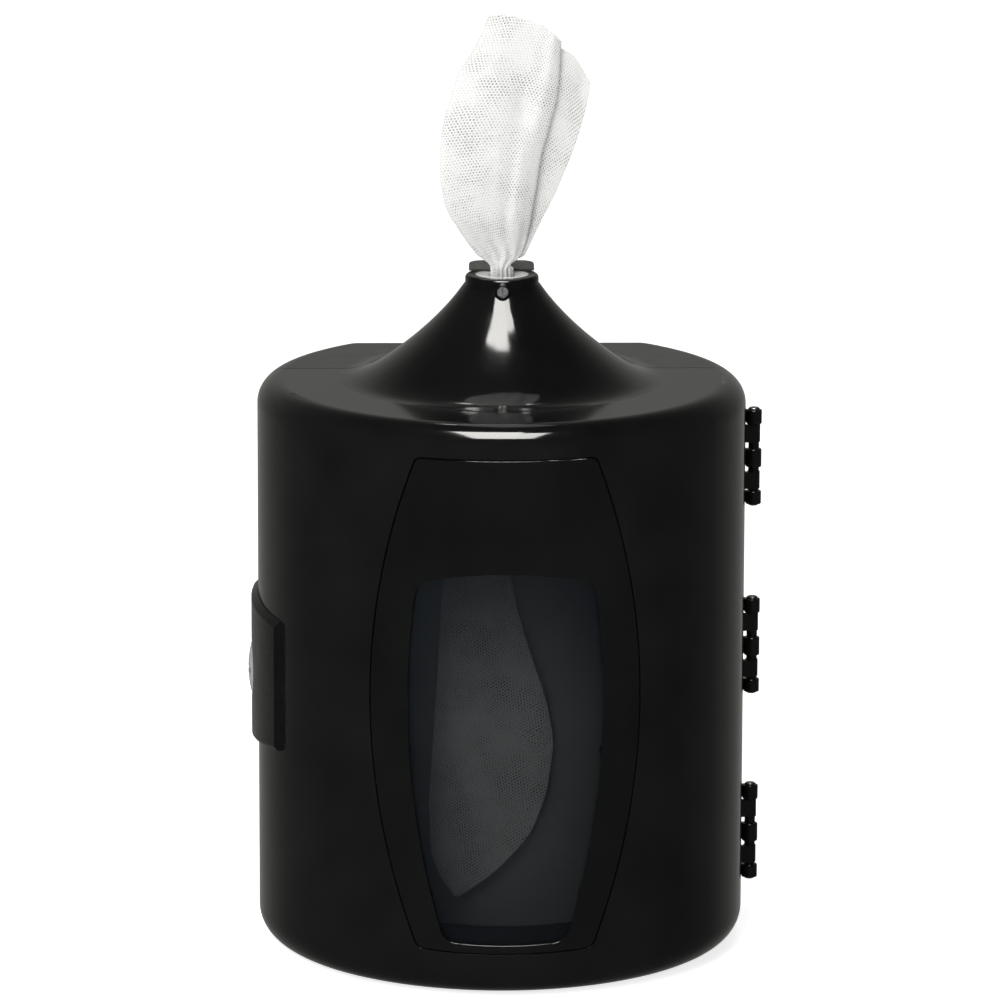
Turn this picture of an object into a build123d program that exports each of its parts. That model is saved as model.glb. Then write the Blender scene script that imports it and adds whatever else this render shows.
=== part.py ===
from build123d import *
import math
import os

# ---------------------------------------------------------------------------
# Wall-mounted centre-pull wipes dispenser.
# Frame: X to the right seen from the front, -Y towards the user, +Z up.
# Origin: centre of the four wall-screw holes, on the wall plane (y = 0).
# ---------------------------------------------------------------------------

os.makedirs("parts", exist_ok=True)

# ---- driving dimensions (mm) ----------------------------------------------
BODY_R = 120.0            # outer radius of the round body
WALL = 3.0                # moulded wall thickness
AXIS_Y = -82.0            # axis of the round body, in front of the wall plane
SEAM_Y = -62.0            # parting plane between cover and rear housing
SEAM_HALF = 0.35          # half of the parting gap
BOT = -150.0              # underside
TOP = 132.0               # flat top around the cone
R_BOT = 15.0              # rounding of the bottom edge
R_TOP = 12.0              # rounding of the top edge

CONE_TOP = 46.5           # height of the cone above the flat top
# outer flare of the cone: (radius, height above the flat top)
FLARE = [(80.0, 0.0), (66.0, 3.4), (50.0, 14.2), (33.7, 28.6), (24.6, 38.6), (18.7, 46.5)]
FLARE_IN = [(78.0, -3.0), (64.8, 0.4), (48.1, 11.7), (31.5, 26.4), (22.4, 36.4), (17.6, 42.0)]
BORE_R = 13.2             # bore through the top of the cone

COLLAR_R = 18.0
COLLAR_H = 5.0
COLLAR_TOP = TOP + CONE_TOP + COLLAR_H
ORIFICE_R = 6.2           # throat of the white orifice insert
LIP_W = 32.0              # rear guide lip
LIP_H = 3.1

# wall screws
HOLE_DX = 110.0
HOLE_DZ = 150.0
HOLE_R = 3.0

# front panel and window (x half-widths, z measured from the underside)
PANEL_TOP = 266.0
PANEL_BOT = 22.3
PANEL_MID = 146.0
PANEL_HALF = 64.7
PANEL_SAG = 0.00152       # side bulge: half = PANEL_HALF - PANEL_SAG*(z-mid)^2
WIN_TOP = 210.6
WIN_TOP_DROP = 5.3
WIN_BOT = 26.4
WIN_HALF = 47.0
WIN_SAG = 0.00125
PANEL_PROUD = 0.5
PANEL_T = 2.0
PANE_T = 1.9
RETAINER_T = 1.6

# hinges
HINGE_X = 125.4
HINGE_TOPS = (111.0, 15.0, -81.0)
LUG_R = 3.9
KNUCKLE_R = 3.15
NECK_R = 2.65
PIN_R = 1.5
PIN_CLEAR = 0.06

# lock on the left side
LOCK_Z = -14.3
PAD_PROUD = 3.4
PAD_BACK = SEAM_Y - 0.7
PAD_FRONT = AXIS_Y - 52.0
KNOB_R = 15.0
KNOB_BULGE = 1.6
SHAFT_R = 4.5
SHAFT_CLEAR = 0.08
SLEEVE_R = 7.0
CAM_REACH = 31.6

# roll, tray
ROLL_R = 74.0
ROLL_BORE_R = 17.0
ROLL_H = 203.0
TRAY_TOP = -133.5
TRAY_T = 2.5


def zb(z):
    """Height above the underside turned into model Z."""
    return BOT + z


def save(shape, name):
    shape.label = name
    export_step(shape, "parts/%s.step" % name)


def halfspace(y0, y1, x=400, z=900):
    """Slab between y0 and y1."""
    return Pos(0, (y0 + y1) / 2, 0) * Box(x, abs(y1 - y0), z)


def cyl_y(x, z, r, y0, y1):
    """Cylinder along Y from y0 to y1."""
    return Pos(x, (y0 + y1) / 2, z) * Rot(90, 0, 0) * Cylinder(r, abs(y1 - y0))


def cyl_x(y, z, r, x0, x1):
    """Cylinder along X from x0 to x1."""
    return Pos((x0 + x1) / 2, y, z) * Rot(0, 90, 0) * Cylinder(r, abs(x1 - x0))


def cyl_z(x, y, r, z0, z1):
    """Cylinder along Z from z0 to z1."""
    return Pos(x, y, (z0 + z1) / 2) * Cylinder(r, abs(z1 - z0))


def box(x0, x1, y0, y1, z0, z1):
    return Pos((x0 + x1) / 2, (y0 + y1) / 2, (z0 + z1) / 2) * Box(abs(x1 - x0), abs(y1 - y0), abs(z1 - z0))


def face_xz(edges):
    """Face in the XZ plane from edges given in (x, z)."""
    return Plane.XZ * make_face(Curve() + edges)


def body_solid(r, bot, top, rb, rt, flare, tip_dir):
    """Solid of revolution of the round body with its flared cone."""
    c = math.sqrt(0.5)
    pts = [(q[0], TOP + q[1]) for q in flare]
    edges = [
        Line((0, bot), (r - rb, bot)),
        ThreePointArc((r - rb, bot), (r - rb + rb * c, bot + rb - rb * c), (r, bot + rb)),
        Line((r, bot + rb), (r, top - rt)),
        ThreePointArc((r, top - rt), (r - rt + rt * c, top - rt + rt * c), (r - rt, top)),
        Line((r - rt, top), pts[0]),
        Spline(pts, tangents=[(-1, 0), tip_dir]),
        Line(pts[-1], (0, pts[-1][1])),
        Line((0, pts[-1][1]), (0, bot)),
    ]
    return Pos(0, AXIS_Y, 0) * revolve(face_xz(edges), Axis.Z, 360)


def barrel_outline(top, bot, mid, half, sag, drop, grow, r_top, r_bot, bot_drop=0.0):
    """Barrel-shaped outline seen from the front, as a face in the XZ plane."""
    def hw(z):
        return half - sag * (z - mid) ** 2
    t = top + grow
    b = bot - grow
    te = t - drop            # top edge height at its ends
    be = b + bot_drop        # bottom edge height at its ends
    wt = hw(te - grow) + grow
    wb = hw(be + grow) + grow
    wm = half + grow
    zt, z_b, zm, tt, bb = zb(te), zb(be), zb(mid), zb(t), zb(b)
    edges = []
    if drop > 0:
        edges.append(ThreePointArc((-wt, zt), (0, tt), (wt, zt)))
    else:
        edges.append(Line((-wt, zt), (wt, zt)))
    edges.append(ThreePointArc((wt, zt), (wm, zm), (wb, z_b)))
    if bot_drop > 0:
        edges.append(ThreePointArc((wb, z_b), (0, bb), (-wb, z_b)))
    else:
        edges.append(Line((wb, z_b), (-wb, z_b)))
    edges.append(ThreePointArc((-wb, z_b), (-wm, zm), (-wt, zt)))
    f = make_face(Curve() + edges)
    vs = f.vertices()
    f = fillet([v for v in vs if v.Y > zm], r_top)
    vs = f.vertices()
    low = [v for v in vs if v.Y < z_b + 0.5]
    f = fillet(low, r_bot)
    return Plane.XZ * f


def prism(face):
    """Outline pushed forward from the body axis through the front wall."""
    return extrude(Pos(0, AXIS_Y - 40, 0) * face, 110)


def shell_ring(r0, r1, z0, z1):
    """Ring about the body axis."""
    return cyl_z(0, AXIS_Y, r1, z0, z1) - cyl_z(0, AXIS_Y, r0, z0 - 1, z1 + 1)


# ---- the two body envelopes ------------------------------------------------
outer = body_solid(BODY_R, BOT, TOP, R_BOT, R_TOP, FLARE, (-0.58, 0.82))
inner = body_solid(BODY_R - WALL, BOT + WALL, TOP - WALL, R_BOT - WALL, R_TOP - WALL, FLARE_IN, (-0.62, 0.78))

panel = prism(barrel_outline(PANEL_TOP, PANEL_BOT, PANEL_MID, PANEL_HALF, PANEL_SAG, 0, 0, 3.5, 5.0, 1.5))
panel_pocket = prism(barrel_outline(PANEL_TOP, PANEL_BOT, PANEL_MID, PANEL_HALF, PANEL_SAG, 0, 0.5, 4.0, 5.5, 1.5))


def window(grow, rt, rbm):
    return prism(barrel_outline(WIN_TOP, WIN_BOT, PANEL_MID, WIN_HALF, WIN_SAG, WIN_TOP_DROP, grow, rt, rbm, 1.2))


win = window(0.0, 9.0, 9.0)
win_cut = window(2.3, 10.5, 10.5)
win_pane = window(2.0, 10.2, 10.2)
win_ret_out = window(6.0, 13.0, 13.0)
win_ret_in = window(0.6, 9.4, 9.4)

# ---- rear housing ----------------------------------------------------------
housing = outer & halfspace(SEAM_Y + SEAM_HALF, 0)
housing -= inner & halfspace(SEAM_Y - 20, -WALL)
# hinge lugs: three on each hinge, with webs to the side wall
lug_spans = ((0.0, 7.1), (19.8, 28.9), (41.1, 47.7))
knuckle_spans = ((7.4, 16.2), (31.2, 39.8))
neck_spans = ((16.2, 19.5), (29.2, 31.2), (39.8, 40.8))
for zt in HINGE_TOPS:
    for a, b in lug_spans:
        lug = cyl_z(HINGE_X, SEAM_Y, LUG_R, zt - b, zt - a)
        lug = fillet(lug.edges().filter_by(GeomType.CIRCLE), 0.5)
        web = box(114.5, HINGE_X, SEAM_Y + 0.5, SEAM_Y + LUG_R - 0.05, zt - b + 0.5, zt - a - 0.5)
        housing += lug
        housing += web
housing -= inner & halfspace(SEAM_Y + SEAM_HALF, -WALL)
for zt in HINGE_TOPS:
    housing -= cyl_z(HINGE_X, SEAM_Y, PIN_R, zt - 60, zt + 1)
# wall-screw holes, with a raised ring inside around each
for sx in (-1, 1):
    for sz in (-1, 1):
        housing += cyl_y(sx * HOLE_DX / 2, sz * HOLE_DZ / 2, 9.0, -5.0, -1.0)
for sx in (-1, 1):
    for sz in (-1, 1):
        housing -= cyl_y(sx * HOLE_DX / 2, sz * HOLE_DZ / 2, HOLE_R, -6.0, 1.0)
# holes for the tray screws
TRAY_SCREWS = [(-42.0, -106.0), (42.0, -106.0), (-42.0, -122.0), (42.0, -122.0)]
for x, z in TRAY_SCREWS:
    housing -= cyl_y(x, z, 1.6, -4.0, -0.8)
# stiffening ribs on the back wall
for x in (-26.0, 0.0, 26.0):
    housing += box(x - 1.2, x + 1.2, -5.6, -2.5, -85.0, 100.0)
# flat pad for the strike on the left inner wall
PAD_X = -111.5
strike_pad = box(-119.0, PAD_X, SEAM_Y + 1.0, -49.0, -47.0, -16.0) & outer
housing += strike_pad
STRIKE_SCREWS = [(-55.4, -31.0), (-55.4, -41.0)]
for y, z in STRIKE_SCREWS:
    housing -= cyl_x(y, z, 1.25, -116.0, -111.0)
save(housing, "rear_housing")

# ---- front cover -----------------------------------------------------------
cover = outer & halfspace(SEAM_Y - SEAM_HALF, AXIS_Y - 130)
cover -= inner
# flat boss inside for the lock nut
lock_boss = box(-118.5, -115.0, AXIS_Y - 13, AXIS_Y + 13, LOCK_Z - 13, LOCK_Z + 13) & outer
cover += lock_boss
# hinge knuckles and their webs
for zt in HINGE_TOPS:
    for a, b in knuckle_spans:
        cover += cyl_z(HINGE_X, SEAM_Y, KNUCKLE_R, zt - b, zt - a)
        cover += box(115.6, HINGE_X, SEAM_Y - KNUCKLE_R + 0.05, SEAM_Y - 0.6, zt - b, zt - a)
    for a, b in neck_spans:
        cover += cyl_z(HINGE_X, SEAM_Y, NECK_R, zt - b, zt - a)
for zt in HINGE_TOPS:
    cover -= cyl_z(HINGE_X, SEAM_Y, PIN_R + PIN_CLEAR, zt - 60, zt + 1)
# inside walls stay clean where the webs came in
cover -= inner & box(100, 130, SEAM_Y - 30, SEAM_Y, BOT + 30, TOP - 20)
# pocket for the front panel and the window opening
cover -= panel_pocket & shell_ring(BODY_R - 1.6, BODY_R + 5, zb(10), zb(275))
cover -= win_cut
# bore through the cone top, and the seat of the retaining-screw boss
cover -= cyl_z(0, AXIS_Y, BORE_R, TOP + 38, TOP + 50)
SCREW_Z = TOP + 46.2
BOSS_R = 4.0
BOSS_FRONT = AXIS_Y - 21.4
cover -= cyl_y(0, SCREW_Z, BOSS_R + 0.1, BOSS_FRONT - 3, AXIS_Y - 12.5)
# hole for the lock sleeve
cover -= cyl_x(AXIS_Y, LOCK_Z, SLEEVE_R + 0.05, -126.0, -113.0)
# holes for the panel screws
PANEL_SCREWS = [(-49.2, 197.0), (49.2, 197.0), (-51.3, 120.0), (51.3, 120.0), (-41.0, 50.0), (41.0, 50.0)]


EDGE_R = 0.45              # rounding of the panel's outer edges
POCKET_EDGE_R = 0.3        # rounding of the pocket's outer edge


def edges_on_wall(shape, radius, z0, z1):
    """Edges of the front that lie on the round wall of this radius, between two heights."""
    found = []
    for e in shape.edges():
        pts = [e.position_at(t) for t in (0.0, 0.35, 0.7, 1.0)]
        if all(abs(math.hypot(p.X, p.Y - AXIS_Y) - radius) < 2e-3 and z0 < p.Z < z1 and p.Y < AXIS_Y - 60 for p in pts):
            found.append(e)
    return found


def radial(x, z, r, r0, r1):
    """Cylinder square to the round wall at the place (x, z) of the front."""
    ang = math.degrees(math.asin(x / BODY_R))
    c = Pos(0, -(r0 + r1) / 2, zb(z)) * Rot(90, 0, 0) * Cylinder(r, r1 - r0)
    return Pos(0, AXIS_Y, 0) * Rot(0, 0, ang) * c


# the pocket's outer edge is eased
cover = fillet(edges_on_wall(cover, BODY_R, BOT + R_BOT + 1.0, TOP - R_TOP - 2.0), POCKET_EDGE_R)
for x, z in PANEL_SCREWS:
    cover -= radial(x, z, 1.3, BODY_R - 5, BODY_R + 1)
save(cover, "front_cover")

# ---- front panel with the window opening -----------------------------------
panel_part = panel & shell_ring(BODY_R - 1.55, BODY_R - 1.55 + PANEL_T, zb(10), zb(275))
panel_part -= win
panel_part = fillet(edges_on_wall(panel_part, BODY_R - 1.55 + PANEL_T, BOT, TOP), EDGE_R)
for x, z in PANEL_SCREWS:
    panel_part -= radial(x, z, 1.0, BODY_R - 3, BODY_R - 0.35)
save(panel_part, "front_panel")

# ---- window pane and its retainer ------------------------------------------
pane = win_pane & shell_ring(BODY_R - 1.6 - PANE_T, BODY_R - 1.6, zb(10), zb(275))
save(pane, "window_pane")

RET_OUT = BODY_R - 1.6 - PANE_T - 0.05
retainer = win_ret_out & shell_ring(RET_OUT - RETAINER_T, RET_OUT, zb(10), zb(275))
retainer -= win_ret_in
for x, z in PANEL_SCREWS:
    retainer += radial(x, z, 4.2, RET_OUT - RETAINER_T + 0.01, RET_OUT)
for x, z in PANEL_SCREWS:
    retainer -= radial(x, z, 1.3, BODY_R - 8, BODY_R)
retainer -= (cyl_z(0, AXIS_Y, 400, BOT - 50, TOP + 50) - cyl_z(0, AXIS_Y, RET_OUT, BOT - 60, TOP + 60))
save(retainer, "window_retainer")

screws = []
for x, z in PANEL_SCREWS:
    s = radial(x, z, 0.98, RET_OUT - RETAINER_T - 0.5, BODY_R - 0.4)
    s += radial(x, z, 2.4, RET_OUT - RETAINER_T - 1.7, RET_OUT - RETAINER_T - 0.1)
    s -= radial(x, z, 0.7, RET_OUT - RETAINER_T - 2.2, RET_OUT - RETAINER_T - 0.9)
    screws.append(s)
save(Compound(children=screws), "panel_screws")

# ---- nozzle: collar, white orifice insert, rear lip, retaining screw --------
collar = cyl_z(0, AXIS_Y, COLLAR_R, TOP + CONE_TOP, COLLAR_TOP)
collar = fillet(collar.edges().filter_by(GeomType.CIRCLE).sort_by(Axis.Z)[-1], 1.8)
boss = cyl_y(0, SCREW_Z, BOSS_R, BOSS_FRONT, AXIS_Y - 14.05)
boss = fillet(boss.edges().filter_by(GeomType.CIRCLE).sort_by(Axis.Y)[0], 0.6)
collar += boss
collar -= cyl_z(0, AXIS_Y, BORE_R, TOP + 30, COLLAR_TOP + 1)
collar -= cyl_y(0, SCREW_Z, 3.05, BOSS_FRONT - 1, BOSS_FRONT + 2.4)
collar -= cyl_y(0, SCREW_Z, 1.6, BOSS_FRONT - 1, AXIS_Y)
save(collar, "nozzle_collar")

INS_TOP = COLLAR_TOP - 0.5
INS_BOT = TOP + 42.4
ins_edges = [
    Line((ORIFICE_R + 3.0, INS_BOT), (BORE_R - 0.05, INS_BOT)),
    Line((BORE_R - 0.05, INS_BOT), (BORE_R - 0.05, INS_TOP)),
    Line((BORE_R - 0.05, INS_TOP), (ORIFICE_R + 1.6, INS_TOP)),
    ThreePointArc((ORIFICE_R + 1.6, INS_TOP), (ORIFICE_R + 0.47, INS_TOP - 0.47), (ORIFICE_R, INS_TOP - 1.6)),
    Line((ORIFICE_R, INS_TOP - 1.6), (ORIFICE_R, INS_BOT + 3.2)),
    Line((ORIFICE_R, INS_BOT + 3.2), (ORIFICE_R + 3.0, INS_BOT)),
]
insert = Pos(0, AXIS_Y, 0) * revolve(face_xz(ins_edges), Axis.Z, 360)
insert -= cyl_y(0, SCREW_Z, 1.55, AXIS_Y - 14, AXIS_Y - 9.4)
save(insert, "orifice_insert")

lip_front = AXIS_Y + 7.6
lip_back = SEAM_Y - 0.75
lip_plan = Pos(0, (lip_front + lip_back) / 2) * Rectangle(LIP_W, lip_back - lip_front)
lip_plan = fillet([v for v in lip_plan.vertices() if v.Y > (lip_front + lip_back) / 2], 6.5)
lip = Pos(0, 0, COLLAR_TOP + 0.02) * extrude(lip_plan, LIP_H)
top_rim = [e for e in lip.edges() if e.center().Z > COLLAR_TOP + LIP_H - 0.1 and e.center().Y > lip_front + 0.5]
lip = fillet(top_rim, 0.9)
# sloped face rising from the orifice to the top of the lip
wedge = Plane.YZ * Polygon((lip_front - 1, COLLAR_TOP + 0.6), (lip_front + 6.0, COLLAR_TOP + LIP_H + 0.02),
                           (lip_front + 6.0, COLLAR_TOP + 12), (lip_front - 1, COLLAR_TOP + 12), align=None)
lip -= extrude(Pos(-30, 0, 0) * wedge, 60, dir=(1, 0, 0))
save(lip, "nozzle_lip")

rs = cyl_y(0, SCREW_Z, 2.9, BOSS_FRONT + 0.5, BOSS_FRONT + 2.35)
rs = fillet(rs.edges().filter_by(GeomType.CIRCLE).sort_by(Axis.Y)[0], 0.6)
rs += cyl_y(0, SCREW_Z, 1.5, BOSS_FRONT + 2.0, AXIS_Y - 9.5)
rs -= box(-0.45, 0.45, BOSS_FRONT - 1, BOSS_FRONT + 1.5, SCREW_Z - 4, SCREW_Z + 4)
save(rs, "nozzle_screw")

# ---- lock: raised pad, knob, sleeve, nut, cam and its screw ------------------
pad_poly = Plane.YZ * Polygon((PAD_BACK, zb(176.6)), (PAD_BACK, zb(98.0)), (PAD_FRONT, zb(106.0)),
                              (PAD_FRONT, zb(171.3)), align=None)
pad_ext = extrude(Pos(-90, 0, 0) * pad_poly, 60, dir=(-1, 0, 0))
pad_ring = shell_ring(BODY_R + 0.02, BODY_R + PAD_PROUD, zb(60), zb(210))
pad = pad_ring & pad_ext
top_edge = [e for e in pad.edges() if e.center().Z > zb(171) and e.length > 40
            and abs(math.hypot((e @ 0).X, (e @ 0).Y - AXIS_Y) - BODY_R - PAD_PROUD) < 0.1]
pad = chamfer(top_edge, 3.0)
bot_edge = [e for e in pad.edges() if e.center().Z < zb(107) and e.length > 40
            and abs(math.hypot((e @ 0).X, (e @ 0).Y - AXIS_Y) - BODY_R - PAD_PROUD) < 0.1]
pad = fillet(bot_edge, 3.0)
pad -= cyl_x(AXIS_Y, LOCK_Z, KNOB_R + 0.35, -130.0, -(BODY_R + 1.3))
pad -= cyl_x(AXIS_Y, LOCK_Z, SLEEVE_R + 0.05, -130.0, -100.0)
save(pad, "lock_pad")

sleeve = cyl_x(AXIS_Y, LOCK_Z, SLEEVE_R, -121.2, -109.6)
sleeve -= cyl_x(AXIS_Y, LOCK_Z, SHAFT_R + SHAFT_CLEAR, -130.0, -100.0)
save(sleeve, "lock_sleeve")

nut = extrude(Plane.YZ * RegularPolygon(10.2, 6), 3.8, dir=(1, 0, 0))
nut = Pos(-114.95, AXIS_Y, LOCK_Z) * nut
nut -= cyl_x(AXIS_Y, LOCK_Z, SLEEVE_R + 0.03, -130.0, -100.0)
save(nut, "lock_nut")

KNOB_BASE = -(BODY_R + 1.4)
KNOB_FACE = -(BODY_R + PAD_PROUD)
dome_edges = [
    Line((0, 0), (KNOB_R, 0)),
    Line((KNOB_R, 0), (KNOB_R, 1.2)),
    ThreePointArc((KNOB_R, 1.2), (KNOB_R * 0.52, 1.2 + (PAD_PROUD - 1.4 - 1.2 + KNOB_BULGE) * 0.74),
                  (0, PAD_PROUD - 1.4 + KNOB_BULGE)),
    Line((0, PAD_PROUD - 1.4 + KNOB_BULGE), (0, 0)),
]
knob = revolve(face_xz(dome_edges), Axis.Z, 360)
knob = Pos(KNOB_BASE, AXIS_Y, LOCK_Z) * Rot(0, -90, 0) * knob
knob += cyl_x(AXIS_Y, LOCK_Z, SHAFT_R, KNOB_BASE - 0.5, -109.0)
knob += box(-110.0, -105.9, AXIS_Y - 3.1, AXIS_Y + 3.1, LOCK_Z - 3.1, LOCK_Z + 3.1)
knob -= box(-127.0, KNOB_FACE + 0.2, AXIS_Y - 11.0, AXIS_Y + 11.0, LOCK_Z - 1.2, LOCK_Z + 1.2)
knob -= cyl_x(AXIS_Y, LOCK_Z, 1.6, -114.0, -105.0)
save(knob, "lock_knob")

# cam: arm pointing up with its hook towards the wall when unlocked
cam = cyl_x(AXIS_Y, LOCK_Z, 7.0, -108.7, -106.3)
cam += box(-108.7, -106.3, AXIS_Y - 3.5, AXIS_Y + 3.5, LOCK_Z, LOCK_Z + CAM_REACH)
cam += box(-108.7, -106.3, AXIS_Y - 3.5, AXIS_Y + 10.0, LOCK_Z + 27.6, LOCK_Z + CAM_REACH)
cam -= box(-110.0, -105.0, AXIS_Y - 3.12, AXIS_Y + 3.12, LOCK_Z - 3.12, LOCK_Z + 3.12)
save(cam, "lock_cam")

cs = cyl_x(AXIS_Y, LOCK_Z, 1.55, -113.0, -104.0)
cs += cyl_x(AXIS_Y, LOCK_Z, 3.6, -104.7, -102.4)
cs -= box(-103.4, -101.0, AXIS_Y - 3.0, AXIS_Y + 3.0, LOCK_Z - 0.5, LOCK_Z + 0.5)
save(cs, "cam_screw")

cw = cyl_x(AXIS_Y, LOCK_Z, 5.5, -105.85, -104.75) - cyl_x(AXIS_Y, LOCK_Z, 1.65, -107.0, -104.0)
save(cw, "cam_washer")

# ---- strike on the housing ---------------------------------------------------
strike = box(PAD_X + 0.02, PAD_X + 1.5, SEAM_Y + 1.2, -50.0, -46.0, -17.0)
strike += cyl_x(AXIS_Y + 23.0, LOCK_Z - 7.2, 3.0, PAD_X + 0.5, -104.2)
for y, z in STRIKE_SCREWS:
    strike -= cyl_x(y, z, 1.4, -113.0, -108.0)
save(strike, "lock_strike")

ss = []
for y, z in STRIKE_SCREWS:
    s = cyl_x(y, z, 1.2, -115.5, -109.6)
    s += cyl_x(y, z, 2.5, PAD_X + 1.55, PAD_X + 3.1)
    s -= box(PAD_X + 2.3, PAD_X + 4.0, y - 2.0, y + 2.0, z - 0.35, z + 0.35)
    ss.append(s)
save(Compound(children=ss), "strike_screws")

# ---- hinge pins ---------------------------------------------------------------
pins = []
for zt in HINGE_TOPS:
    p = cyl_z(HINGE_X, SEAM_Y, PIN_R - 0.01, zt - 48.2, zt + 0.3)
    head = cyl_z(HINGE_X, SEAM_Y, 2.7, zt + 0.02, zt + 1.1)
    head = fillet(head.edges().filter_by(GeomType.CIRCLE).sort_by(Axis.Z)[-1], 0.7)
    tail = cyl_z(HINGE_X, SEAM_Y, 2.3, zt - 48.5, zt - 47.72)
    tail = fillet(tail.edges().filter_by(GeomType.CIRCLE).sort_by(Axis.Z)[0], 0.4)
    pins.append(p + head + tail)
save(Compound(children=pins), "hinge_pins")

# ---- tray that carries the roll -----------------------------------------------
tray = cyl_z(0, AXIS_Y, ROLL_R + 3.6, TRAY_TOP - TRAY_T, TRAY_TOP)
rim = shell_ring(ROLL_R + 1.6, ROLL_R + 3.6, TRAY_TOP - TRAY_T, TRAY_TOP + 7.0)
tray += rim
tray = tray & halfspace(-3.02, AXIS_Y - 100)
tray -= cyl_z(0, AXIS_Y, 22.0, TRAY_TOP - 10, TRAY_TOP + 10)
tray += box(-52.0, 52.0, -5.4, -3.02, -138.0, -98.0)
for x in (-36.0, 36.0):
    rib = Plane.YZ * Polygon((-4.0, -144.5), (-4.0, TRAY_TOP - 1.0), (-132.0, TRAY_TOP - 1.0),
                             (-132.0, -138.0), align=None)
    tray += extrude(Pos(x - 1.25, 0, 0) * rib, 2.5, dir=(1, 0, 0))
for x in (-36.0, 36.0):
    gus = Plane.YZ * Polygon((-4.0, TRAY_TOP - 1.0), (-4.0, -104.0), (-8.0, -104.0),
                             (-14.0, TRAY_TOP - 1.0), align=None)
    tray += extrude(Pos(x - 1.25, 0, 0) * gus, 2.5, dir=(1, 0, 0))
for x, z in TRAY_SCREWS:
    tray -= cyl_y(x, z, 1.8, -10.0, 0.0)
save(tray, "roll_tray")

ts = []
for x, z in TRAY_SCREWS:
    s = cyl_y(x, z, 1.55, -6.0, -0.9)
    h = cyl_y(x, z, 3.4, -7.6, -5.45)
    h = fillet(h.edges().filter_by(GeomType.CIRCLE).sort_by(Axis.Y)[0], 0.9)
    s += h
    s -= box(x - 2.2, x + 2.2, -9.0, -6.9, z - 0.4, z + 0.4)
    s -= box(x - 0.4, x + 0.4, -9.0, -6.9, z - 2.2, z + 2.2)
    ts.append(s)
save(Compound(children=ts), "tray_screws")

# ---- wipes: roll, next-sheet lead and the pulled-out tail -----------------------
roll = cyl_z(0, AXIS_Y, ROLL_R, TRAY_TOP + 0.1, TRAY_TOP + 0.1 + ROLL_H)
roll = fillet(roll.edges().filter_by(GeomType.CIRCLE), 3.0)
roll -= cyl_z(0, AXIS_Y, ROLL_BORE_R, TRAY_TOP - 10, TRAY_TOP + ROLL_H + 10)
save(roll, "wipes_roll")

LEAD_TOP = TOP + 27.0
lead = Pos(0, AXIS_Y, (TRAY_TOP + 120 + LEAD_TOP) / 2) * Cone(15.5, 4.2, LEAD_TOP - TRAY_TOP - 120)
save(lead, "wipe_lead")

TAIL_BOT = TOP + 31.5
# outline of the pulled-out sheet seen from the front (x, height above the collar)
TAIL = [(-4.6, 4.6), (-11.3, 8.8), (-19.0, 23.0), (-26.8, 40.8), (-30.0, 59.0), (-30.2, 74.0), (-28.6, 86.5),
        (-20.9, 107.0), (-13.2, 120.6), (-6.4, 131.0), (11.8, 129.8), (21.5, 124.4), (30.6, 117.2),
        (36.0, 107.2), (43.2, 96.8), (42.3, 89.8), (37.0, 72.8), (32.2, 56.4), (25.4, 41.0),
        (17.9, 24.0), (11.4, 11.4), (6.4, 4.6)]
tail_face = Plane.XZ * Polygon(*[(x, COLLAR_TOP + z) for x, z in TAIL], align=None)
tail = extrude(Pos(0, AXIS_Y + 3.6, 0) * tail_face, 7.2, dir=(0, -1, 0))
tail += cyl_z(0, AXIS_Y, 4.6, TAIL_BOT, COLLAR_TOP + 6.0)
save(tail, "wipe_tail")
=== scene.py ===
import math

import bpy
import numpy as np
from mathutils import Matrix, Vector


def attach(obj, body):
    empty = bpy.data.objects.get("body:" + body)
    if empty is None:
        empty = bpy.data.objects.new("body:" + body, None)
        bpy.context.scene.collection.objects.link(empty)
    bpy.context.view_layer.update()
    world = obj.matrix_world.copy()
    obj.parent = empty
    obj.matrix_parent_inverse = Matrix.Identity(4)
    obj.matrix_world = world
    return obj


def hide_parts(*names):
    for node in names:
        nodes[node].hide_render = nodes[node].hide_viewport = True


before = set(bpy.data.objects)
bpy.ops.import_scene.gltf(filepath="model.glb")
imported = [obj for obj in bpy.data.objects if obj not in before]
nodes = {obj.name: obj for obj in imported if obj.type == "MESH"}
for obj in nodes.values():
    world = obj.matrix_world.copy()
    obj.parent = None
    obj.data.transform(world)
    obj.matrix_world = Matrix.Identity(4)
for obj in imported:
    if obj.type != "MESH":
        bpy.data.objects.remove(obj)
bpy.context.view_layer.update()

AXIS_Y = -0.082        # axis of the round body
COLLAR_Z = 0.1835      # top of the nozzle collar
PITCH = 0.00158        # spacing of the wipes' perforation


# ---------------------------------------------------------------- materials

def blank(name):
    m = bpy.data.materials.new(name)
    m.use_nodes = True
    nt = m.node_tree
    nt.nodes.clear()
    out = nt.nodes.new("ShaderNodeOutputMaterial")
    bsdf = nt.nodes.new("ShaderNodeBsdfPrincipled")
    nt.links.new(bsdf.outputs[0], out.inputs[0])
    return m, nt, bsdf


def math_node(nt, op, a, b=None, c=None, clamp=False):
    n = nt.nodes.new("ShaderNodeMath")
    n.operation = op
    n.use_clamp = clamp
    for i, v in enumerate((a, b, c)):
        if v is None:
            continue
        if isinstance(v, (int, float)):
            n.inputs[i].default_value = v
        else:
            nt.links.new(v, n.inputs[i])
    return n.outputs[0]


def noise(nt, vec, scale, detail=3.0, rough=0.5, distort=0.0):
    n = nt.nodes.new("ShaderNodeTexNoise")
    n.inputs["Scale"].default_value = scale
    n.inputs["Detail"].default_value = detail
    n.inputs["Roughness"].default_value = rough
    n.inputs["Distortion"].default_value = distort
    nt.links.new(vec, n.inputs["Vector"])
    return n.outputs[0]


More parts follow.
